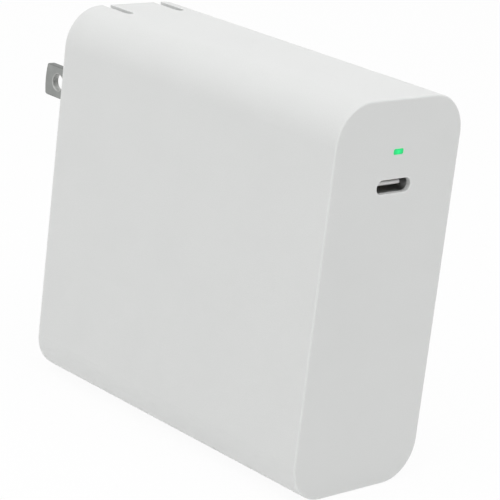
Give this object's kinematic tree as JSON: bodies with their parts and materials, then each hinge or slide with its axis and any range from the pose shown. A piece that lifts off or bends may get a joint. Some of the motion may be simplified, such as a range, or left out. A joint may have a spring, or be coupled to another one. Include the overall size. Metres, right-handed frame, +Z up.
{
  "type": "laptop power adapter",
  "caption": "Wall-plug laptop power adapter: a rounded flat block with folding flat blades at one end and a USB-C outlet with a status light at the other.",
  "frame": {"origin": "middle of the flat lower face, on which the adapter stands", "axes": "+Z up, +Y from the outlet face towards the blades, X across the thickness"},
  "size_m": [0.0312, 0.0907, 0.0738],
  "materials": {
    "housing": "fine matt moulded white polycarbonate",
    "plug_plastic": "matt moulded white nylon",
    "blade_metal": "nickel-plated brass, lightly brushed",
    "port_steel": "drawn stainless steel",
    "port_plastic": "light grey moulded insulator",
    "contact_gold": "gold-plated copper alloy",
    "light_window": "clear light guide, lit green",
    "black_plastic": "flame-retardant moulding",
    "fastener_steel": "zinc-plated steel",
    "spring_bronze": "phosphor bronze strip",
    "board": "glass-epoxy board with green solder mask",
    "chip": "moulded epoxy package",
    "spreader": "rolled sheet",
    "insulating_sheet": "polyester film",
    "thermal_pad": "filled silicone",
    "ferrite": "sintered ferrite",
    "copper": "enamelled copper winding",
    "can_aluminium": "sleeved aluminium can",
    "film_case": "film capacitor case",
    "disc_coating": "epoxy-coated disc",
    "wire_jacket": "silicone-jacketed wire"
  },
  "bodies": {
    "adapter": {"housing_shell": "housing", "rear_cover": "housing", "usb_c_shell": "port_steel", "usb_c_tongue": "port_plastic", "usb_c_contacts": "contact_gold", "led_light_pipe": "light_window", "status_led": "light_window", "plug_retainer": "black_plastic", "retainer_screws": "fastener_steel", "line_contact_spring": "spring_bronze", "neutral_contact_spring": "spring_bronze", "detent_spring": "fastener_steel", "main_board": "board", "port_board": "board", "port_controller": "chip", "port_switch": "chip", "board_link": "black_plastic", "left_heat_spreader": "spreader", "right_heat_spreader": "spreader", "left_insulating_sheet": "insulating_sheet", "right_insulating_sheet": "insulating_sheet", "left_thermal_pad": "thermal_pad", "right_thermal_pad": "thermal_pad", "transformer_core": "ferrite", "transformer_bobbin": "black_plastic", "transformer_winding": "copper", "boost_inductor_core": "ferrite", "boost_inductor_bobbin": "black_plastic", "boost_inductor_winding": "copper", "line_choke_seat": "black_plastic", "line_choke_core": "ferrite", "line_choke_winding": "copper", "neutral_choke_winding": "copper", "lower_bulk_capacitor": "can_aluminium", "upper_bulk_capacitor": "can_aluminium", "first_output_capacitor": "can_aluminium", "second_output_capacitor": "can_aluminium", "third_output_capacitor": "can_aluminium", "supply_capacitor": "can_aluminium", "mains_filter_capacitor": "film_case", "surge_absorber": "disc_coating", "inrush_limiter": "disc_coating", "safety_capacitor": "disc_coating", "isolating_coupler": "chip", "bridge_rectifier": "chip", "mains_fuse": "black_plastic", "boost_transistor": "chip", "bridge_transistor": "chip", "rectifier_transistor": "chip", "primary_controller": "chip", "line_wire": "wire_jacket", "neutral_wire": "wire_jacket"},
    "plug": {"plug_barrel": "plug_plastic", "left_blade": "blade_metal", "right_blade": "blade_metal"}
  },
  "joints": [
    {"name": "plug_fold", "type": "hinge", "parent": "adapter", "child": "plug", "pos_m": [0, 0.0343, 0.0547], "axis": [1, 0, 0], "range_deg": [0, 90]}
  ]
}
